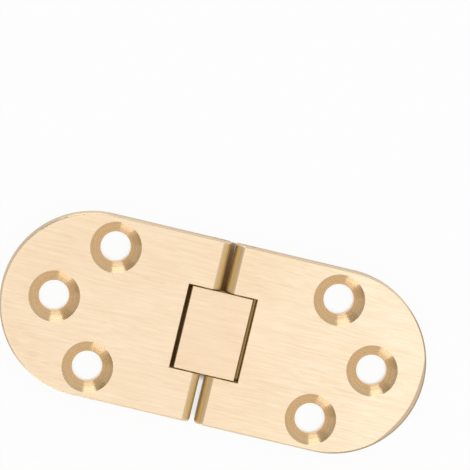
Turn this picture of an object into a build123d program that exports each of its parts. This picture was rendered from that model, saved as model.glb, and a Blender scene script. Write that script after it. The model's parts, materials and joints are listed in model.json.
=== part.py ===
"""Brass flap hinge for a folding table: two round-ended leaves joined by a loose link on two cross pins.

Sizes are in millimetres. The hinge lies open and flat, with its back on Z = 0 and its length along X. The
origin is the centre of the back. The countersunk face looks up, +Z, and the leaves fold up and over until
the two countersunk faces lie face to face.
"""

import os
from math import hypot

from build123d import *

# Overall size of the open hinge
length = 82.0
width = 35.0
thickness = 4.5

# Edges: the rim is rubbed over, the notch and the link are only just broken
rim_round = 0.4
crisp_break = 0.08

# Slit between the two leaves and the knuckle edges beside it, which are rounded about the pins. Their radius
# is a little more than half the thickness, so the round meets the face at a slight angle
leaf_gap = 1.0
knuckle_radius = 2.4

# Cross pins, one in the middle of each knuckle
pin_radius = 1.25
pin_inset = 0.1
pin_break = 0.15
running_clearance = 0.05
pin_x = leaf_gap / 2 + knuckle_radius
pin_z = thickness / 2

# Loose link between the pins
link_length = 11.7
link_width = 15.9

# Notch in each leaf: the corners of the link swing past its floor
link_side_clearance = 0.2
swing_clearance = 0.1
corner_swing = hypot(link_length / 2 - pin_x, thickness / 2 - crisp_break)
notch_floor_x = pin_x + corner_swing + swing_clearance
notch_width = link_width + 2 * link_side_clearance

# Round end of each leaf
end_radius = width / 2
end_centre_x = length / 2 - end_radius

# Countersunk screw holes: a pair near the long edges and one near the round end
hole_radius = 2.9
sink_radius = 4.88
sink_angle = 90.0
pair_edge_margin = 5.85
pair_setback = 1.8
end_margin = 10.1
pair_x = end_centre_x - pair_setback
pair_y = width / 2 - pair_edge_margin
end_hole_x = length / 2 - end_margin

# Smallest distance that counts as a difference when an edge is picked by its place
near = 0.01


def rim_edges(leaf):
    """Edges of the rounded rim: the long edges, the round end, the knuckle corners and the slit corners."""
    top = leaf.edges().filter_by(lambda edge: edge.center().Z > near)
    beside = top.filter_by(lambda edge: abs(abs((edge @ 0.5).Y) - width / 2) < near)
    sides = beside.filter_by(lambda edge: (edge @ 0.5).X < end_centre_x - near)
    end = top.filter_by(GeomType.CIRCLE).sort_by(Axis.X).last
    return sides + ShapeList([end])


def notch_edges(leaf):
    """Edges round the mouth of the notch on the countersunk face and down both knuckle corners."""
    high = leaf.edges().filter_by(lambda edge: (edge @ 0.5).Z > thickness / 2 + near)
    inside = high.filter_by(lambda edge: abs((edge @ 0.5).Y) < notch_width / 2 + near)
    return inside.filter_by(lambda edge: pin_x - knuckle_radius + near < (edge @ 0.5).X < notch_floor_x + near)


# Right leaf: a flat bar with a round end, notched at its inner edge, its upper inner corners rounded
# about the pin and its lower inner corners left square
with BuildPart() as right_leaf:
    with BuildSketch() as leaf_outline:
        with BuildLine():
            Polyline(
                (end_centre_x, -width / 2),
                (leaf_gap / 2, -width / 2),
                (leaf_gap / 2, -notch_width / 2),
                (notch_floor_x, -notch_width / 2),
                (notch_floor_x, notch_width / 2),
                (leaf_gap / 2, notch_width / 2),
                (leaf_gap / 2, width / 2),
                (end_centre_x, width / 2),
            )
            ThreePointArc((end_centre_x, width / 2), (length / 2, 0), (end_centre_x, -width / 2))
        make_face()
    extrude(amount=thickness)

    with BuildSketch(Plane.XZ.offset(-width / 2)) as knuckle_waste:
        with Locations((pin_x, pin_z)):
            Rectangle(knuckle_radius, knuckle_radius, align=(Align.MAX, Align.MIN))
            Circle(knuckle_radius, mode=Mode.SUBTRACT)
    extrude(amount=width, mode=Mode.SUBTRACT)

    fillet(rim_edges(right_leaf), radius=rim_round)
    chamfer(notch_edges(right_leaf), length=crisp_break)

    with Locations((pair_x, -pair_y, thickness), (pair_x, pair_y, thickness), (end_hole_x, 0, thickness)):
        CounterSinkHole(hole_radius, sink_radius, depth=thickness, counter_sink_angle=sink_angle)

    with BuildSketch(Plane.XZ.offset(-width / 2)) as leaf_pin_bore:
        with Locations((pin_x, pin_z)):
            Circle(pin_radius)
    extrude(amount=width, mode=Mode.SUBTRACT)

# Left leaf: the same leaf turned to the other side of the slit
with BuildPart() as left_leaf:
    mirror(right_leaf.part, about=Plane.YZ)

# Link: a solid block that fills both notches, level with the leaves on both faces
with BuildPart() as link:
    with BuildSketch():
        Rectangle(link_length, link_width)
    extrude(amount=thickness)
    chamfer(link.edges(), length=crisp_break)

    with BuildSketch(Plane.XZ.offset(-link_width / 2)) as link_pin_bores:
        with Locations((-pin_x, pin_z), (pin_x, pin_z)):
            Circle(pin_radius + running_clearance)
    extrude(amount=link_width, mode=Mode.SUBTRACT)

# Right pin: driven through both ears, with its ends just inside the long edges
with BuildPart() as right_pin:
    with BuildSketch(Plane.XZ.offset(pin_inset - width / 2)):
        with Locations((pin_x, pin_z)):
            Circle(pin_radius)
    extrude(amount=width - 2 * pin_inset)
    chamfer(right_pin.edges().filter_by(GeomType.CIRCLE), length=pin_break)

# Left pin
with BuildPart() as left_pin:
    mirror(right_pin.part, about=Plane.YZ)

right_leaf.part.label = "right_leaf"
left_leaf.part.label = "left_leaf"
link.part.label = "link"
right_pin.part.label = "right_pin"
left_pin.part.label = "left_pin"

os.makedirs("parts", exist_ok=True)
export_step(right_leaf.part, "parts/right_leaf.step")
export_step(left_leaf.part, "parts/left_leaf.step")
export_step(link.part, "parts/link.step")
export_step(right_pin.part, "parts/right_pin.step")
export_step(left_pin.part, "parts/left_pin.step")
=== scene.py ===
"""Looks of a brass flap hinge for a folding table.

The leaves, the link and the cross pins are dressed in satin brass: the flat faces are brushed along the
length, the countersinks are turned, the knuckle edges are ground across and the sides are left as sawn and
filed. Lengths are in metres, and the hinge lies open with its back on Z = 0 and its length along X.
"""

import json
import logging
from dataclasses import dataclass
from enum import Enum
from math import cos, pi, radians, sin, tan

import bpy
from mathutils import Matrix, Vector

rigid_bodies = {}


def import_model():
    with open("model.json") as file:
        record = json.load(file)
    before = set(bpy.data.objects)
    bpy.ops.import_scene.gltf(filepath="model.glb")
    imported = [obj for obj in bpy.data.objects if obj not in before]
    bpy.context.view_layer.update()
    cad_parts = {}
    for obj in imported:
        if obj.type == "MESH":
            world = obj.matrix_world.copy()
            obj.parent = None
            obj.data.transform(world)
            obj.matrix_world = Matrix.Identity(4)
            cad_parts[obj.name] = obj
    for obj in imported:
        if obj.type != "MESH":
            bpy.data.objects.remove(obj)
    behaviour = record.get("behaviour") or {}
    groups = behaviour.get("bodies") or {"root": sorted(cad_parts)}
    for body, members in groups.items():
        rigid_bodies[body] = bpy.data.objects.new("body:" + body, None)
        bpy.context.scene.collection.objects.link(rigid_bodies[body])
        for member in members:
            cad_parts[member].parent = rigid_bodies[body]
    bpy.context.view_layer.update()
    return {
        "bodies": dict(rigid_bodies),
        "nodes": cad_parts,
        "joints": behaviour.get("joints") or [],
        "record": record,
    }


logger = logging.getLogger("flap_hinge")

MM = 0.001

Colour = tuple[float, float, float]
Socket = bpy.types.NodeSocket
Feed = Socket | float | tuple[float, ...]


class Graph:
    """A node tree being drawn up, with short calls for the nodes that the finishes and the studio use."""

    def __init__(self, tree: bpy.types.NodeTree) -> None:
        """Keep the tree.

        Args:
            tree: The material's or the group's node tree.
        """
        self.tree = tree

    def node(self, kind: str, **settings: object) -> bpy.types.Node:
        """Add a node.

        Args:
            kind: The node's type name.
            settings: Values for the node's own properties.

        Returns:
            The new node.
        """
        made = self.tree.nodes.new(kind)
        for name, value in settings.items():
            setattr(made, name, value)
        return made

    def plug(self, socket: Socket, value: Feed) -> None:
        """Link or set a socket.

        Args:
            socket: The input to fill.
            value: Another node's output, or a number or colour.
        """
        if isinstance(value, Socket):
            self.tree.links.new(value, socket)
        else:
            socket.default_value = value

    def maths(self, operation: str, *values: Feed, clamp: bool = False) -> Socket:
        """Work out a number.

        Args:
            operation: The Math node's operation.
            values: Its inputs, in order.
            clamp: Whether the result is held between 0 and 1.

        Returns:
            The result's socket.
        """
        made = self.node("ShaderNodeMath", operation=operation, use_clamp=clamp)
        for socket, value in zip(made.inputs, values):
            self.plug(socket, value)
        return made.outputs[0]

    def vector_maths(self, operation: str, *values: Feed, result: str = "Vector") -> Socket:
        """Work on vectors.

        Args:
            operation: The Vector Math node's operation.
            values: Its inputs, in order.
            result: The output that the operation fills, Vector or Value.

        Returns:
            The result's socket.
        """
        made = self.node("ShaderNodeVectorMath", operation=operation)
        for socket, value in zip(made.inputs, values):
            self.plug(socket, value)
        return made.outputs[result]

    def split(self, vector: Socket) -> bpy.types.Node:
        """Take a vector apart.

        Args:
            vector: The vector's socket.

        Returns:
            The node, with outputs X, Y and Z.
        """
        made = self.node("ShaderNodeSeparateXYZ")
        self.plug(made.inputs[0], vector)
        return made

    def ramp(self, value: Feed, start: float, end: float, low: float = 0.0, high: float = 1.0) -> Socket:
        """Turn a range into another, smoothly and with no overshoot.

        Args:
            value: The number to map.
            start: Where it gives low.
            end: Where it gives high.
            low: Result at the start.
            high: Result at the end.

        Returns:
            The mapped number's socket.
        """
        made = self.node("ShaderNodeMapRange", interpolation_type="SMOOTHSTEP")
        for socket, number in zip(made.inputs, (value, start, end, low, high)):
            self.plug(socket, number)
        return made.outputs["Result"]

    def noise(
        self, place: Feed, scale: float, detail: float = 2.0, roughness: float = 0.5, result: str = "Fac"
    ) -> Socket:
        """Sample a noise.

        Args:
            place: The point to sample at.
            scale: Cycles to the metre, or to whatever unit the point is in.
            detail: Octaves.
            roughness: Strength of the finer octaves.
            result: The output to take, Fac for a number or Color for three.

        Returns:
            The noise's value, centred on one half.
        """
        made = self.node("ShaderNodeTexNoise", noise_dimensions="3D")
        for name, value in (("Vector", place), ("Scale", scale), ("Detail", detail), ("Roughness", roughness)):
            self.plug(made.inputs[name], value)
        return made.outputs[result]

    def mix_colour(self, share: Feed, first: Feed, second: Feed) -> Socket:
        """Mix two colours.

        Args:
            share: How much of the second.
            first: First colour.
            second: Second colour.

        Returns:
            The mixed colour's socket.
        """
        made = self.node("ShaderNodeMix", data_type="RGBA")
        self.plug(made.inputs[0], share)
        for socket, colour in zip(made.inputs[6:8], (first, second)):
            self.plug(socket, colour if isinstance(colour, Socket) else (*colour, 1.0))
        return made.outputs[2]

    def mix_value(self, share: Feed, first: Feed, second: Feed) -> Socket:
        """Mix two numbers.

        Args:
            share: How much of the second.
            first: First number.
            second: Second number.

        Returns:
            The mixed number's socket.
        """
        made = self.node("ShaderNodeMix", data_type="FLOAT")
        self.plug(made.inputs[0], share)
        for socket, value in zip(made.inputs[2:4], (first, second)):
            self.plug(socket, value)
        return made.outputs[0]


@dataclass(frozen=True)
class BrassTones:
    """Colours of the metal where each tool and each hand has left it, and tones that paint shade, light and
    reflections on it.

    Attributes:
        face: The brushed faces, fresh from the cloth.
        painted_end_light: Painted light on a leaf's face, lighter towards its round end.
        aged: The same faces where they have begun to warm and dull.
        turned: The countersinks and the bores.
        ring: The deeper turned rings.
        side: The filed sides.
        side_low: The same sides where the file has left them rougher.
        knuckle: Painted shade on the rounded edges beside the slit, where their curve mirrors the darker room.
        knuckle_foot_reflection: Painted reflection on the same edges further down, more golden where they turn
            steeper.
        gap: Painted shade on the walls that face each other in the joint.
        painted_rim_shade: Painted shade on a stretch of the round end's rim.
        worn: Edges that sleeves and cloths have polished.
    """

    face: Colour = (0.955, 0.77, 0.56)
    painted_end_light: Colour = (0.945, 0.81, 0.615)
    aged: Colour = (0.84, 0.615, 0.385)
    turned: Colour = (0.91, 0.715, 0.47)
    ring: Colour = (0.60, 0.42, 0.23)
    side: Colour = (0.76, 0.60, 0.42)
    side_low: Colour = (0.56, 0.43, 0.29)
    knuckle: Colour = (0.90, 0.655, 0.385)
    knuckle_foot_reflection: Colour = (0.90, 0.70, 0.34)
    gap: Colour = (0.58, 0.42, 0.22)
    painted_rim_shade: Colour = (0.55, 0.42, 0.28)
    worn: Colour = (0.95, 0.76, 0.52)


@dataclass(frozen=True)
class GrindGrain:
    """Scratches of a belt or a wheel: long one way and fine the other.

    Attributes:
        run: Length of a scratch.
        pitch: Distance from one scratch to the next.
    """

    run: float
    pitch: float


class Run(Enum):
    """Which way a grain runs."""

    ALONG_LENGTH = (1, 0, 0)
    ALONG_PINS = (0, 1, 0)
    ROUND_THE_SIDES = (1, 1, 0)


class Side(Enum):
    """Side of the slit that a leaf and its pin lie on, as the nodes are named."""

    LEFT = "left"
    RIGHT = "right"


class HingeSizes:
    """Sizes that the finishes and the camera share with the solids.

    Attributes:
        half_width: From the middle to a long edge.
        end_centre: X of a round end's centre.
        thickness: Of a leaf.
        joint_reach: X up to which the walls of the joint stand.
        sink_radius: Of a countersink at the face.
        pair_hole: X and Y of the holes near the long edges.
        end_hole: X and Y of the hole near the round end.
    """

    half_width = 17.5 * MM
    end_centre = 23.5 * MM
    thickness = 4.5 * MM
    joint_reach = 7.2 * MM
    sink_radius = 4.88 * MM
    pair_hole = (21.7 * MM, 11.65 * MM)
    end_hole = (30.9 * MM, 0.0)


class Slope:
    """Where one kind of surface gives way to the next, by how level it lies: 1 is flat and 0 is upright.

    Each pair says where its kind starts to show and where it is alone.

    Attributes:
        face: The brushed faces.
        knuckle: The rounded edges beside the slit, which take a painted shade.
        foot: The same edges further down, which take a painted reflection.
        side: The filed sides.
        joint_wall: The walls that face each other in the joint, which take a painted shade.
        as_flat: The least level surface whose scratches run as a face's do.
    """

    face = (0.93, 0.995)
    knuckle = (0.97, 0.945)
    foot = (0.85, 0.6)
    side = (0.6, 0.2)
    joint_wall = (0.5, 0.15)
    as_flat = 0.985


class OutlineBand:
    """Where the rim and the sides end.

    Attributes:
        side_end: Distance in from the outline at which a side starts to give way and at which it has ended.
        rim_end: Distance in from the outline at which the rim has ended and at which it is full.
        rim_height: Height above the back at which the rim starts and at which it is full.
    """

    side_end = (0.15 * MM, 0.45 * MM)
    rim_end = (1.0 * MM, 0.3 * MM)
    rim_height = (3.7 * MM, 4.1 * MM)


class NoiseBand:
    """Parts of a noise's values, which lie round one half, that show in a finish.

    Each pair says at which value the noise starts to show and at which it shows in full.

    Attributes:
        gloss: Fine scratches and turned rings in the roughness.
        face_streak: Broad scratches in a face's colour.
        face_scratch: Fine scratches in a face's colour.
        filed_streak: Broad scratches in a side's colour.
        filed_scratch: Fine scratches in a side's colour.
        cloud: Tarnish.
        ring: The deeper turned rings.
    """

    gloss = (0.3, 0.7)
    face_streak = (0.36, 0.68)
    face_scratch = (0.4, 0.66)
    filed_streak = (0.35, 0.65)
    filed_scratch = (0.45, 0.65)
    cloud = (0.35, 0.75)
    ring = (0.35, 0.65)


class GroupLibrary:
    """Shader groups that more than one finish uses, each built once.

    Attributes:
        wander_scale: How often a scratch changes its way, to the metre.
        wander_detail: Octaves of that change.
        wander_reach: How far it strays.
        scratch_detail: Octaves of the scratches.
        scratch_roughness: Strength of their finer octaves.
    """

    wander_scale = 120.0
    wander_detail = 1.0
    wander_reach = 0.9 * MM
    scratch_detail = 3.0
    scratch_roughness = 0.6

    def __init__(self) -> None:
        """Build the groups."""
        self.grain = self._grain()
        self.hole_distance = self._hole_distance()
        self.zones = self._zones()

    @staticmethod
    def _new_group(
        name: str, inputs: tuple[str, ...], outputs: tuple[str, ...]
    ) -> tuple[Graph, bpy.types.Node, bpy.types.Node]:
        """Start a group.

        Args:
            name: The group's name.
            inputs: Names of its vector inputs.
            outputs: Names of its number outputs.

        Returns:
            The graph, the input node and the output node.
        """
        tree = bpy.data.node_groups.new(name, "ShaderNodeTree")
        for socket in inputs:
            tree.interface.new_socket(socket, in_out="INPUT", socket_type="NodeSocketVector")
        for socket in outputs:
            tree.interface.new_socket(socket, in_out="OUTPUT", socket_type="NodeSocketFloat")
        graph = Graph(tree)
        return graph, graph.node("NodeGroupInput"), graph.node("NodeGroupOutput")

    def _grain(self) -> bpy.types.NodeTree:
        """Build the scratch grain, which wanders a little as a hand-held belt does.

        Returns:
            A group from a point and its stretch to a scratch value.
        """
        graph, source, sink = self._new_group("grind_grain", ("Place", "Stretch"), ("Scratch",))
        place = source.outputs["Place"]
        wander = graph.noise(place, self.wander_scale, self.wander_detail, result="Color")
        drift = graph.vector_maths("MULTIPLY", wander, (self.wander_reach,) * 3)
        moved = graph.vector_maths("ADD", place, drift)
        stretched = graph.vector_maths("MULTIPLY", moved, source.outputs["Stretch"])
        scratch = graph.noise(stretched, 1.0, self.scratch_detail, self.scratch_roughness)
        graph.plug(sink.inputs["Scratch"], scratch)
        return graph.tree

    def _hole_distance(self) -> bpy.types.NodeTree:
        """Build the distance to the nearest screw hole.

        Returns:
            A group from a point to its distance from the nearest hole's axis.
        """
        graph, source, sink = self._new_group("hole_distance", ("Place",), ("Distance",))
        flat = graph.vector_maths("MULTIPLY", source.outputs["Place"], (1.0, 1.0, 0.0))
        folded = graph.vector_maths("ABSOLUTE", flat)
        found = []
        for x, y in (HingeSizes.pair_hole, HingeSizes.end_hole):
            away = graph.vector_maths("SUBTRACT", folded, (x, y, 0.0))
            found.append(graph.vector_maths("LENGTH", away, result="Value"))
        graph.plug(sink.inputs["Distance"], graph.maths("MINIMUM", *found))
        return graph.tree

    def _zones(self) -> bpy.types.NodeTree:
        """Build the masks of the surfaces that each tool has made.

        Returns:
            A group from a point and a normal to the masks of the flat faces, the sides, the rounded knuckles
            and their feet, the joint's walls and the rounded rim, and to the distance from the outline.
        """
        names = ("Flat", "Side", "Knuckle", "Foot", "Gap", "Rim", "Inward")
        graph, source, sink = self._new_group("tool_zones", ("Place", "Facing"), names)
        level = graph.maths("ABSOLUTE", graph.split(source.outputs["Facing"]).outputs["Z"])
        folded = graph.split(graph.vector_maths("ABSOLUTE", source.outputs["Place"])).outputs
        past_centre = graph.maths("MAXIMUM", graph.maths("SUBTRACT", folded["X"], HingeSizes.end_centre), 0.0)
        squares = (graph.maths("POWER", past_centre, 2.0), graph.maths("POWER", folded["Y"], 2.0))
        reach = graph.maths("SQRT", graph.maths("ADD", *squares))
        inward = graph.maths("SUBTRACT", HingeSizes.half_width, reach)

        inside = graph.ramp(inward, *OutlineBand.side_end)
        outside = graph.maths("SUBTRACT", 1.0, inside)
        in_joint = graph.maths("LESS_THAN", folded["X"], HingeSizes.joint_reach)
        within = graph.maths("MULTIPLY", inside, in_joint)
        on_top = graph.ramp(folded["Z"], *OutlineBand.rim_height)
        zones = {
            "Knuckle": (Slope.knuckle, within),
            "Foot": (Slope.foot, within),
            "Gap": (Slope.joint_wall, within),
            "Side": (Slope.side, outside),
        }
        for zone, (slope, part) in zones.items():
            graph.plug(sink.inputs[zone], graph.maths("MULTIPLY", graph.ramp(level, *slope), part))
        graph.plug(sink.inputs["Flat"], graph.ramp(level, *Slope.face))
        graph.plug(sink.inputs["Rim"], graph.maths("MULTIPLY", on_top, graph.ramp(inward, *OutlineBand.rim_end)))
        graph.plug(sink.inputs["Inward"], inward)
        return graph.tree


@dataclass(frozen=True)
class PaintedRimShade:
    """Painted shade on a stretch of the round end's rim, where its rounding mirrors a dark part of the room.

    Attributes:
        middle: Where its middle lies round the end, in degrees from the leaf's length.
        width: How wide it is where it starts to widen and in its middle.
        widening: Where it starts to widen and where it is widest, as the cosine of the angle from its middle.
        fading: Where it starts and where it is full, as the same cosine.
        soft: Half the width of its soft inner edge.
    """

    middle: float = -18.0
    width: tuple[float, float] = (0.3 * MM, 0.9 * MM)
    widening: tuple[float, float] = (0.8, 1.0)
    fading: tuple[float, float] = (0.2, 0.6)
    soft: float = 0.08 * MM

    def mask(self, graph: Graph, place: Socket, inward: Socket) -> Socket:
        """Find the stretch.

        Args:
            graph: The material's graph.
            place: The point's socket.
            inward: How far the point lies in from the outline.

        Returns:
            Where it lies.
        """
        from_centre = graph.vector_maths("SUBTRACT", place, (HingeSizes.end_centre, 0.0, 0.0))
        outward = graph.vector_maths("NORMALIZE", graph.vector_maths("MULTIPLY", from_centre, (1.0, 1.0, 0.0)))
        middle = (cos(radians(self.middle)), sin(radians(self.middle)), 0.0)
        toward = graph.vector_maths("DOT_PRODUCT", outward, middle, result="Value")
        past_edge = graph.maths("SUBTRACT", inward, graph.ramp(toward, *self.widening, *self.width))
        return graph.maths("MULTIPLY", graph.ramp(past_edge, self.soft, -self.soft), graph.ramp(toward, *self.fading))


@dataclass(frozen=True)
class TurnedRings:
    """Rings that the countersink cutter leaves.

    Attributes:
        pitch: Distance from one ring to the next.
        share: How much of the ring tone the deepest of them take.
        roughness: Of the smoothest and of the roughest ring.
        relief: How much they catch the light, where a scratch is 1.
        overrun: How far past the countersink's edge they may reach.
    """

    pitch: float = 0.2 * MM
    share: float = 0.4
    roughness: tuple[float, float] = (0.25, 0.31)
    relief: float = 0.12
    overrun: float = 0.05 * MM


@dataclass(frozen=True)
class SatinBrass:
    """Brass brushed on its flat faces, turned in its countersinks and ground across its knuckle.

    Attributes:
        name: The material's name.
        shift: Where in the grain the piece was cut.
        has_holes: Whether the piece has countersunk screw holes.
        painted_end_light_and_shade: Whether its round end takes painted light on its face and painted shade on part
            of its rim.
        tones: Colours of the metal.
        roughness: Of a brushed face, from its smoothest scratches to its roughest.
        filed_roughness: Of the sides and the joint's walls.
        anisotropy: How much more the metal scatters across its scratches than along them.
        fine_grain: Scratches that catch the light.
        broad_grain: Streaks that show from afar.
        scratch_depth: How deep the fine scratches are.
        scratch_strength: How much they catch the light.
        clouds_scale: Clouds of tarnish to the metre.
        clouds: How much a cloud ages the colour.
        streaks: How much a broad and a fine scratch age it.
        filed_streaks: How much they darken a side.
        knuckle_ageing: How much they age a knuckle.
        rim_wear: How much the rim is polished.
        end_light_from: X where the painted light on the face starts to show and X where it is full.
        painted_rim_shade: The stretch of rim that takes a painted shade.
        rings: The countersinks' rings.
    """

    name: str
    shift: tuple[float, float, float] = (0.0, 0.0, 0.0)
    has_holes: bool = False
    painted_end_light_and_shade: bool = False
    tones: BrassTones = BrassTones()
    roughness: tuple[float, float] = (0.29, 0.38)
    filed_roughness: float = 0.45
    anisotropy: float = 0.9
    fine_grain: GrindGrain = GrindGrain(run=7.0 * MM, pitch=0.11 * MM)
    broad_grain: GrindGrain = GrindGrain(run=10.0 * MM, pitch=0.42 * MM)
    scratch_depth: float = 0.01 * MM
    scratch_strength: float = 0.35
    clouds_scale: float = 60.0
    clouds: float = 0.2
    streaks: tuple[float, float] = (0.3, 0.24)
    filed_streaks: tuple[float, float] = (0.6, 0.4)
    knuckle_ageing: float = 0.3
    rim_wear: float = 0.6
    end_light_from: tuple[float, float] = (5.0 * MM, 24.0 * MM)
    painted_rim_shade: PaintedRimShade = PaintedRimShade()
    rings: TurnedRings = TurnedRings()

    def material(self, groups: GroupLibrary) -> bpy.types.Material:
        """Build the finish.

        Args:
            groups: The shared shader groups.

        Returns:
            The material.
        """
        made = bpy.data.materials.new(self.name)
        made.use_nodes = True
        graph = Graph(made.node_tree)
        shader = made.node_tree.nodes["Principled BSDF"]
        shader.inputs["Metallic"].default_value = 1.0
        shader.inputs["Anisotropic"].default_value = self.anisotropy
        spot = graph.node("ShaderNodeTexCoord")
        place = spot.outputs["Object"]
        zones = graph.node("ShaderNodeGroup", node_tree=groups.zones)
        graph.plug(zones.inputs["Place"], place)
        graph.plug(zones.inputs["Facing"], spot.outputs["Normal"])

        fine, broad = (
            self._scratches(graph, groups, place, zones, grain) for grain in (self.fine_grain, self.broad_grain)
        )
        colour = self._zone_colours(graph, zones, fine, broad, self._face_colour(graph, place, fine, broad))
        rough = graph.ramp(fine, *NoiseBand.gloss, *self.roughness)
        filed = graph.maths("MAXIMUM", zones.outputs["Side"], zones.outputs["Gap"])
        rough = graph.mix_value(filed, rough, self.filed_roughness)
        if self.painted_end_light_and_shade:
            # Painted shade on a stretch of the round end's rim.
            share = self.painted_rim_shade.mask(graph, place, zones.outputs["Inward"])
            colour = graph.mix_colour(share, colour, self.tones.painted_rim_shade)
        if self.has_holes:
            colour, rough, fine = self._turned(graph, groups, place, zones, colour, rough, fine)
        graph.plug(shader.inputs["Base Color"], colour)
        graph.plug(shader.inputs["Roughness"], rough)
        graph.plug(shader.inputs["Tangent"], self._across_grain(graph, spot.outputs["Normal"]))
        bump = graph.node("ShaderNodeBump")
        graph.plug(bump.inputs["Strength"], self.scratch_strength)
        graph.plug(bump.inputs["Distance"], self.scratch_depth)
        graph.plug(bump.inputs["Height"], fine)
        graph.plug(shader.inputs["Normal"], bump.outputs["Normal"])
        return made

    def _scratches(
        self, graph: Graph, groups: GroupLibrary, place: Socket, zones: bpy.types.Node, grain: GrindGrain
    ) -> Socket:
        """Place a grain: along the hinge on its faces, round its sides and along the pins elsewhere.

        Args:
            graph: The material's graph.
            groups: The shared shader groups.
            place: The point's socket.
            zones: The placed zone masks.
            grain: Sizes of the scratches.

        Returns:
            The scratch value.
        """
        moved = graph.vector_maths("ADD", place, self.shift)
        values = {}
        for run in Run:
            used = graph.node("ShaderNodeGroup", node_tree=groups.grain)
            graph.plug(used.inputs["Place"], moved)
            stretch = tuple(1.0 / grain.run if along else 1.0 / grain.pitch for along in run.value)
            graph.plug(used.inputs["Stretch"], stretch)
            values[run] = used.outputs["Scratch"]
        ground = graph.mix_value(zones.outputs["Side"], values[Run.ALONG_PINS], values[Run.ROUND_THE_SIDES])
        return graph.mix_value(zones.outputs["Flat"], ground, values[Run.ALONG_LENGTH])

    def _zone_colours(
        self, graph: Graph, zones: bpy.types.Node, fine: Socket, broad: Socket, colour: Socket
    ) -> Socket:
        """Lay the filed sides' colours, the painted shade and painted reflection of the knuckles and the joint's
        walls, and the worn rim over a face's colour.

        Args:
            graph: The material's graph.
            zones: The placed zone masks.
            fine: The fine scratch value.
            broad: The broad scratch value.
            colour: Colour of a face.

        Returns:
            The colour outside the countersinks.
        """
        wide, narrow = self.filed_streaks
        streak = graph.ramp(broad, *NoiseBand.filed_streak, 0.0, wide)
        filed = graph.maths("ADD", streak, graph.ramp(fine, *NoiseBand.filed_scratch, 0.0, narrow))
        ageing = graph.maths("MULTIPLY", filed, self.knuckle_ageing)
        # The knuckle tone is painted shade, the foot tone painted reflection and the gap tone painted shade.
        tones = {
            "Side": graph.mix_colour(filed, self.tones.side, self.tones.side_low),
            "Knuckle": graph.mix_colour(ageing, self.tones.knuckle, self.tones.aged),
            "Foot": self.tones.knuckle_foot_reflection,
            "Gap": self.tones.gap,
        }
        for zone, tone in tones.items():
            colour = graph.mix_colour(zones.outputs[zone], colour, tone)
        polished = graph.maths("MULTIPLY", zones.outputs["Rim"], self.rim_wear)
        return graph.mix_colour(polished, colour, self.tones.worn)

    def _face_colour(self, graph: Graph, place: Socket, fine: Socket, broad: Socket) -> Socket:
        """Colour a face with its streaks and its faint clouds of tarnish, and with painted light towards its round
        end where asked.

        Args:
            graph: The material's graph.
            place: The point's socket.
            fine: The fine scratch value.
            broad: The broad scratch value.

        Returns:
            The colour's socket.
        """
        wide, narrow = self.streaks
        cloud = graph.ramp(graph.noise(place, self.clouds_scale), *NoiseBand.cloud, 0.0, self.clouds)
        streak = graph.ramp(broad, *NoiseBand.face_streak, 0.0, wide)
        streak = graph.maths("ADD", streak, graph.ramp(fine, *NoiseBand.face_scratch, 0.0, narrow))
        face = self.tones.face
        if self.painted_end_light_and_shade:
            # Painted light: the face turns lighter towards the round end.
            painted_end_light = graph.ramp(graph.split(place).outputs["X"], *self.end_light_from)
            face = graph.mix_colour(painted_end_light, face, self.tones.painted_end_light)
        return graph.mix_colour(graph.maths("ADD", cloud, streak), face, self.tones.aged)

    @staticmethod
    def _across_grain(graph: Graph, facing: Socket) -> Socket:
        """Find the way across the scratches: along Y on a flat face and up the slope elsewhere.

        Args:
            graph: The material's graph.
            facing: The normal's socket.

        Returns:
            The direction's socket.
        """
        level = graph.maths("ABSOLUTE", graph.split(facing).outputs["Z"])
        flat = graph.maths("GREATER_THAN", level, Slope.as_flat)
        across = graph.node("ShaderNodeCombineXYZ")
        graph.plug(across.inputs["Y"], flat)
        graph.plug(across.inputs["Z"], graph.maths("SUBTRACT", 1.0, flat))
        spaces = {"convert_from": "OBJECT", "convert_to": "WORLD"}
        turned = graph.node("ShaderNodeVectorTransform", vector_type="VECTOR", **spaces)
        graph.plug(turned.inputs[0], across.outputs[0])
        return turned.outputs[0]

    def _turned(
        self,
        graph: Graph,
        groups: GroupLibrary,
        place: Socket,
        zones: bpy.types.Node,
        colour: Socket,
        rough: Socket,
        fine: Socket,
    ) -> tuple[Socket, Socket, Socket]:
        """Lay the turned finish inside the countersinks and bores.

        Args:
            graph: The material's graph.
            groups: The shared shader groups.
            place: The point's socket.
            zones: The placed zone masks.
            colour: Colour outside the countersinks.
            rough: Roughness outside them.
            fine: Scratch value outside them.

        Returns:
            Colour, roughness and scratch value all over.
        """
        hole = graph.node("ShaderNodeGroup", node_tree=groups.hole_distance)
        graph.plug(hole.inputs["Place"], place)
        distance = hole.outputs["Distance"]
        sloped = graph.maths("SUBTRACT", 1.0, zones.outputs["Flat"], clamp=True)
        near = graph.maths("LESS_THAN", distance, HingeSizes.sink_radius + self.rings.overrun)
        in_sink = graph.maths("MULTIPLY", near, sloped)
        across = graph.node("ShaderNodeCombineXYZ")
        graph.plug(across.inputs["X"], graph.maths("DIVIDE", distance, self.rings.pitch))
        ring = graph.noise(across.outputs[0], 1.0)
        deeper = graph.ramp(ring, *NoiseBand.ring, 0.0, self.rings.share)
        shade = graph.mix_colour(deeper, self.tones.turned, self.tones.ring)
        colour = graph.mix_colour(in_sink, colour, shade)
        rough = graph.mix_value(in_sink, rough, graph.ramp(ring, *NoiseBand.gloss, *self.rings.roughness))
        return colour, rough, graph.mix_value(in_sink, fine, graph.maths("MULTIPLY", ring, self.rings.relief))


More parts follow.
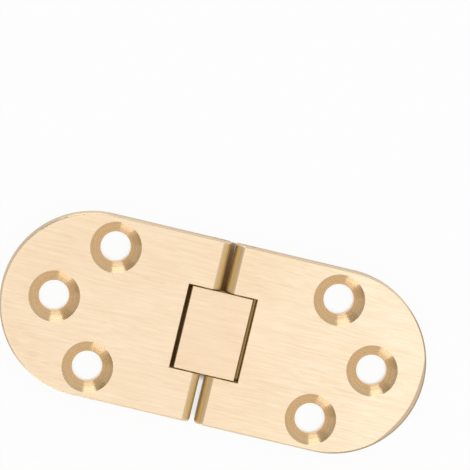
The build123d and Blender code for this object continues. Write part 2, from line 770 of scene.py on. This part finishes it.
@dataclass(frozen=True)
class Leaf:
    """One half of the hinge, with its cross pin.

    Attributes:
        side: The side of the slit that it lies on.
        shift: Where in the grain the leaf was cut.
        painted_end_light_and_shade: Whether its round end takes painted light on its face and painted shade on part
            of its rim.
    """

    side: Side
    shift: tuple[float, float, float]
    painted_end_light_and_shade: bool = False

    def dress(self, frame: dict, groups: GroupLibrary, pin_finish: bpy.types.Material) -> None:
        """Finish the leaf and its pin.

        Args:
            frame: The loaded frame.
            groups: The shared shader groups.
            pin_finish: Finish of both pins.
        """
        side = self.side.value
        finish = SatinBrass(f"satin_brass_{side}", self.shift, has_holes=True, painted_end_light_and_shade=self.painted_end_light_and_shade)
        set_finish(frame["nodes"][f"{side}_leaf"], finish.material(groups))
        set_finish(frame["nodes"][f"{side}_pin"], pin_finish)


@dataclass(frozen=True)
class Link:
    """The loose block between the leaves.

    Attributes:
        shift: Where in the grain it was cut.
        face: Colour of its faces, a little warmer than the leaves'.
    """

    shift: tuple[float, float, float] = (0.21, 0.033, 0.0)
    face: Colour = (0.935, 0.735, 0.53)

    def dress(self, frame: dict, groups: GroupLibrary) -> None:
        """Finish the link.

        Args:
            frame: The loaded frame.
            groups: The shared shader groups.
        """
        finish = SatinBrass("satin_brass_link", self.shift, tones=BrassTones(face=self.face))
        set_finish(frame["nodes"]["link"], finish.material(groups))


def set_finish(piece: bpy.types.Object, finish: bpy.types.Material) -> None:
    """Put a finish in every material slot of a piece, and report the piece.

    Args:
        piece: The piece's object.
        finish: The material.
    """
    for slot in piece.material_slots:
        slot.material = finish
    logger.info("%s finished in %s", piece.name, finish.name)


def hang_lamp(
    name: str, size: tuple[float, float], level: float, place: tuple[float, float, float] | Vector
) -> bpy.types.Object:
    """Hang a rectangular soft lamp that faces straight down.

    Args:
        name: The lamp's name.
        size: Its sides.
        level: How bright it looks, where white paper is 1.
        place: Where its middle hangs.

    Returns:
        The lamp's object.
    """
    lamp = bpy.data.lights.new(name, "AREA")
    lamp.shape = "RECTANGLE"
    lamp.size, lamp.size_y = size
    lamp.energy = pi * size[0] * size[1] * level
    hung = bpy.data.objects.new(name, lamp)
    hung.location = place
    hung.visible_camera = False
    bpy.context.collection.objects.link(hung)
    return hung


@dataclass(frozen=True)
class Overhead:
    """A soft lamp above the hinge, level with the floor.

    Attributes:
        name: The lamp's name.
        size: Its sides along X and Y.
        place: Where its middle hangs.
        level: How bright it looks, where white paper is 1.
    """

    name: str
    size: tuple[float, float]
    place: tuple[float, float, float]
    level: float

    def hang(self) -> None:
        """Make the lamp."""
        hang_lamp(self.name, self.size, self.level, self.place)


@dataclass(frozen=True)
class Softbox:
    """A soft lamp that faces the hinge, given by the part of the sky that it fills.

    Attributes:
        name: The lamp's name.
        azimuth: Where its sides stand, in degrees from +X towards +Y.
        elevation: Where its lower and upper edges stand, in degrees above the floor.
        level: How bright it looks, where white paper is 1.
        distance: How far away it hangs.
    """

    name: str
    azimuth: tuple[float, float]
    elevation: tuple[float, float]
    level: float
    distance: float = 0.6

    def hang(self) -> None:
        """Make the lamp."""
        turn = radians(sum(self.azimuth) / 2)
        rise = radians(sum(self.elevation) / 2)
        place = Vector((cos(rise) * cos(turn), cos(rise) * sin(turn), sin(rise))) * self.distance
        wide = 2 * self.distance * cos(rise) * tan(radians(self.azimuth[1] - self.azimuth[0]) / 2)
        high = 2 * self.distance * tan(radians(self.elevation[1] - self.elevation[0]) / 2)
        hung = hang_lamp(self.name, (wide, high), self.level, place)
        hung.rotation_mode = "QUATERNION"
        hung.rotation_quaternion = (-place).to_track_quat("-Z", "Y")


@dataclass(frozen=True)
class SlitLight:
    """How the light falls on the strip of floor under the slit.

    The near lamp reaches the strip's lower half, and the upper half lies in shadow.

    Attributes:
        side: Distance from the slit's middle at which the strip has ended and at which it is full.
        lit_from: Y at which the lit half starts and at which it is full.
        lit: How white the lit half looks.
        unlit_from: Y at which the unlit half starts.
        unlit_to: Y at which the unlit half has ended and at which it is still full.
        near_walls: Share of open sky at which the floor counts as outside the slit and as inside it.
        open_sky: Share of open sky at which the floor starts to look white and at which it is white.
        white: How white the open floor looks.
    """

    side: tuple[float, float] = (0.55 * MM, 0.35 * MM)
    lit_from: tuple[float, float] = (-8.0 * MM, -10.0 * MM)
    lit: float = 0.8
    unlit_from: float = 8.0 * MM
    unlit_to: tuple[float, float] = (17.55 * MM, 17.25 * MM)
    near_walls: tuple[float, float] = (0.6, 0.5)
    open_sky: tuple[float, float] = (0.18, 0.33)
    white: float = 0.94

    def masks(self, graph: Graph, place: bpy.types.Node, sky_share: Socket) -> tuple[Socket, Socket]:
        """Work out how white the floor looks.

        Args:
            graph: The floor material's graph.
            place: The point, taken apart.
            sky_share: How much of the sky the floor sees.

        Returns:
            How white it looks, and where it lies in the shadow of the upper slit.
        """
        along = place.outputs["Y"]
        across = graph.ramp(graph.maths("ABSOLUTE", place.outputs["X"]), *self.side)
        lit = graph.maths("MULTIPLY", across, graph.ramp(along, *self.lit_from, 0.0, self.lit))
        upper = graph.maths("GREATER_THAN", along, self.unlit_from)
        upper = graph.maths("MULTIPLY", upper, graph.ramp(along, *self.unlit_to))
        inside = graph.maths("MULTIPLY", across, graph.ramp(sky_share, *self.near_walls))
        unlit = graph.maths("MULTIPLY", upper, inside)
        white = graph.ramp(sky_share, *self.open_sky, 0.0, self.white)
        white = graph.maths("MULTIPLY", white, graph.maths("SUBTRACT", 1.0, unlit))
        return graph.maths("MAXIMUM", white, lit), unlit


@dataclass(frozen=True)
class EndGapLight:
    """The strip of floor under the link's right end, where light comes down by way of the brass walls.

    Attributes:
        colour: Its colour.
        start: X at which it starts and at which it is full.
        end: X at which it ends.
        side: Distance from the link's middle at which it has ended and at which it is full.
        near_walls: Share of open sky at which the floor counts as outside the gap and as inside it.
    """

    colour: Colour = (0.31, 0.188, 0.065)
    start: tuple[float, float] = (6.1 * MM, 6.45 * MM)
    end: float = 7.0 * MM
    side: tuple[float, float] = (8.1 * MM, 7.6 * MM)
    near_walls: tuple[float, float] = (0.45, 0.3)

    def mask(self, graph: Graph, place: bpy.types.Node, sky_share: Socket) -> Socket:
        """Find the strip.

        Args:
            graph: The floor material's graph.
            place: The point, taken apart.
            sky_share: How much of the sky the floor sees.

        Returns:
            Where it lies.
        """
        along = graph.ramp(place.outputs["X"], *self.start)
        inside = graph.maths("MULTIPLY", along, graph.maths("LESS_THAN", place.outputs["X"], self.end))
        beside = graph.ramp(graph.maths("ABSOLUTE", place.outputs["Y"]), *self.side)
        narrow = graph.ramp(sky_share, *self.near_walls)
        return graph.maths("MULTIPLY", graph.maths("MULTIPLY", inside, beside), narrow)


@dataclass(frozen=True)
class Floor:
    """Pale floor, which looks white and darkens only in narrow gaps.

    Attributes:
        size: Its side.
        drop: How far below the hinge's back it lies.
        paint: Its colour.
        painted_floor_shade: Painted shade: its colour deep between brass walls, where little light reaches.
        reach: How far round a point its share of open sky is judged.
        sky_rays: Number of lines along which it is judged.
        unshaded_sky: Share of open sky at which the colour is the painted shade and at which it is the paint's.
        slit_shade_share: How much of the painted shade the shadow of the upper slit takes.
        slit: The light under the slit.
        end_gap: The light under the link's right end.
    """

    size: float = 6.0
    drop: float = 0.02 * MM
    paint: Colour = (0.86, 0.86, 0.86)
    painted_floor_shade: Colour = (0.36, 0.20, 0.06)
    reach: float = 6.0 * MM
    sky_rays: int = 32
    unshaded_sky: tuple[float, float] = (0.12, 0.35)
    slit_shade_share: float = 0.7
    slit: SlitLight = SlitLight()
    end_gap: EndGapLight = EndGapLight()

    def lay(self) -> None:
        """Make the floor."""
        bpy.ops.object.select_all(action="DESELECT")
        bpy.ops.mesh.primitive_plane_add(size=self.size, location=(0.0, 0.0, -self.drop))
        floor = bpy.context.object
        floor.name = "floor"
        floor.data.materials.append(self._material())

    def _material(self) -> bpy.types.Material:
        """Build the paint: matt to the lamps, and glowing to the camera and in mirrored rays.

        Returns:
            The material.
        """
        made = bpy.data.materials.new("floor_paint")
        made.use_nodes = True
        graph = Graph(made.node_tree)
        made.node_tree.nodes.remove(made.node_tree.nodes["Principled BSDF"])
        place = graph.split(graph.node("ShaderNodeTexCoord").outputs["Object"])
        blocked = graph.node("ShaderNodeAmbientOcclusion", samples=self.sky_rays)
        graph.plug(blocked.inputs["Distance"], self.reach)
        sky_share = blocked.outputs["AO"]
        white, unlit = self.slit.masks(graph, place, sky_share)
        amber = self.end_gap.mask(graph, place, sky_share)

        matt = graph.node("ShaderNodeBsdfDiffuse")
        # Painted shade: the floor turns dark brown where it sees little open sky, and more so in the shadow of the
        # upper slit.
        unshaded = graph.maths("SUBTRACT", 1.0, graph.maths("MULTIPLY", unlit, self.slit_shade_share))
        unshaded = graph.maths("MULTIPLY", unshaded, graph.ramp(sky_share, *self.unshaded_sky))
        graph.plug(matt.inputs["Color"], graph.mix_colour(unshaded, self.painted_floor_shade, self.paint))

        glow = graph.node("ShaderNodeEmission")
        graph.plug(glow.inputs["Strength"], 1.0)
        in_gap = graph.maths("GREATER_THAN", amber, 0.0)
        graph.plug(glow.inputs["Color"], graph.mix_colour(in_gap, (1.0, 1.0, 1.0), self.end_gap.colour))

        rays = graph.node("ShaderNodeLightPath")
        seen = graph.maths("MAXIMUM", rays.outputs["Is Camera Ray"], rays.outputs["Is Glossy Ray"])
        mixed = graph.node("ShaderNodeMixShader")
        glowing = graph.maths("MULTIPLY", seen, graph.maths("MAXIMUM", white, amber))
        for socket, value in zip(mixed.inputs, (glowing, matt.outputs[0], glow.outputs[0])):
            graph.plug(socket, value)
        graph.plug(made.node_tree.nodes["Material Output"].inputs["Surface"], mixed.outputs[0])
        return made


@dataclass(frozen=True)
class Room:
    """Surround of the hinge: white to the camera, and a light mid grey with darker parts to the metal.

    Heights and directions are those of a line of length 1 from the hinge.

    Attributes:
        level: How bright the room looks.
        shade: How bright its darker side looks, towards -X.
        shade_edge: How far towards -X the darker side starts and is full.
        cards: Where the dark cards beside the two low lamps stand, in degrees from +X towards +Y.
        card_shade: How bright those cards look.
        card_half: Half the width of a card with and without its soft edge, in degrees.
        card_top: Height at which a card has ended and at which it is full.
    """

    level: float = 0.55
    shade: float = 0.35
    shade_edge: tuple[float, float] = (0.45, 0.75)
    cards: tuple[float, float] = (141.0, 218.5)
    card_shade: float = 0.03
    card_half: tuple[float, float] = (17.0, 9.0)
    card_top: tuple[float, float] = (0.45, 0.36)

    def build(self) -> None:
        """Make the world."""
        world = bpy.data.worlds.new("surround")
        world.use_nodes = True
        bpy.context.scene.world = world
        graph = Graph(world.node_tree)
        backdrop = world.node_tree.nodes["Background"]
        graph.plug(backdrop.inputs["Color"], (1.0, 1.0, 1.0, 1.0))
        sky = graph.node("ShaderNodeTexCoord").outputs["Generated"]
        towards_shade = graph.vector_maths("DOT_PRODUCT", sky, (-1.0, 0.0, 0.0), result="Value")
        lit = graph.mix_value(graph.ramp(towards_shade, *self.shade_edge), self.level, self.shade)
        level = graph.vector_maths("NORMALIZE", graph.vector_maths("MULTIPLY", sky, (1.0, 1.0, 0.0)))
        low = graph.ramp(graph.split(sky).outputs["Z"], *self.card_top)
        edges = tuple(cos(radians(angle)) for angle in self.card_half)
        for azimuth in self.cards:
            middle = (cos(radians(azimuth)), sin(radians(azimuth)), 0.0)
            card = graph.ramp(graph.vector_maths("DOT_PRODUCT", level, middle, result="Value"), *edges)
            lit = graph.mix_value(graph.maths("MULTIPLY", card, low), lit, self.card_shade)
        rays = graph.node("ShaderNodeLightPath")
        graph.plug(backdrop.inputs["Strength"], graph.mix_value(rays.outputs["Is Camera Ray"], lit, 1.0))


@dataclass(frozen=True)
class Studio:
    """Pale floor, soft lamps and the white surround.

    Attributes:
        floor: The floor.
        room: The surround.
        overheads: The lamps above the hinge, the second of which brightens its right end.
        softboxes: The low lamps, which light the countersinks' walls.
    """

    floor: Floor = Floor()
    room: Room = Room()
    overheads: tuple[Overhead, ...] = (
        Overhead("overhead", size=(0.8, 0.8), place=(0.0, 0.0, 0.5), level=0.575),
        Overhead("overhead_side", size=(0.4, 0.8), place=(0.262, -0.05, 0.46), level=0.218),
    )
    softboxes: tuple[Softbox, ...] = (
        Softbox("far_side", azimuth=(93.0, 126.5), elevation=(4.0, 22.0), level=1.9),
        Softbox("near_side", azimuth=(240.0, 271.0), elevation=(2.0, 20.0), level=2.05),
    )

    def build(self) -> None:
        """Make the floor, the surround and the lamps."""
        self.floor.lay()
        self.room.build()
        for lamp in (*self.overheads, *self.softboxes):
            lamp.hang()
        logger.info("studio lit")


@dataclass(frozen=True)
class PhotoCamera:
    """Long lens that looks almost straight down on the hinge.

    Attributes:
        distance: From the middle of the view to the lens.
        scale: Pixels to the metre at the top face, in a square picture of so many pixels.
        picture: Side of the picture in pixels.
        centre: Pixel where the middle of the hinge's face lies.
        roll: How far the length slopes down to the right, in degrees.
        tilt: How far the camera leans away from straight above, in degrees.
        towards: Direction in which it leans, in the hinge's own X and Y.
        sensor: Width of its sensor in millimetres.
        clip: Nearest and farthest distance that it sees.
    """

    distance: float = 1.2
    scale: float = 5294.0
    picture: int = 470
    centre: tuple[float, float] = (213.4, 333.6)
    roll: float = 13.56
    tilt: float = 5.65
    towards: tuple[float, float] = (-0.64, 0.76)
    sensor: float = 36.0
    clip: tuple[float, float] = (0.05, 20.0)

    def place(self) -> None:
        """Make the camera and give it to the scene."""
        lens = bpy.data.cameras.new("camera")
        lens.sensor_width = self.sensor
        lens.lens = self.scale * self.distance / self.picture * self.sensor
        eye = bpy.data.objects.new("camera", lens)
        lean = Vector((*self.towards, 0.0)).normalized() * sin(radians(self.tilt))
        back = (lean + Vector((0.0, 0.0, cos(radians(self.tilt))))).normalized()
        turned = Vector((sin(radians(-self.roll)), cos(radians(self.roll)), 0.0))
        right = turned.cross(back).normalized()
        up = back.cross(right)
        across = (self.picture / 2 - self.centre[0]) / self.scale
        down = (self.picture / 2 - self.centre[1]) / self.scale
        face = Vector((0.0, 0.0, HingeSizes.thickness))
        middle = face + right * across - up * down
        turn = Matrix((right, up, back)).transposed().to_4x4()
        eye.matrix_world = Matrix.Translation(middle + back * self.distance) @ turn
        lens.clip_start, lens.clip_end = self.clip
        bpy.context.collection.objects.link(eye)
        bpy.context.scene.camera = eye


def main() -> None:
    """Dress the hinge, build the studio and set the camera."""
    logging.basicConfig(level=logging.INFO, format="%(message)s")
    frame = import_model()
    groups = GroupLibrary()
    pin_finish = SatinBrass(name="pin_brass", shift=(0.4, 0.1, 0.2)).material(groups)
    Leaf(Side.LEFT, shift=(0.0, 0.0, 0.0)).dress(frame, groups, pin_finish)
    Leaf(Side.RIGHT, shift=(0.13, 0.017, 0.0), painted_end_light_and_shade=True).dress(frame, groups, pin_finish)
    Link().dress(frame, groups)
    Studio().build()
    PhotoCamera().place()
    bpy.context.scene.view_settings.view_transform = "Standard"


if __name__ == "__main__":
    main()
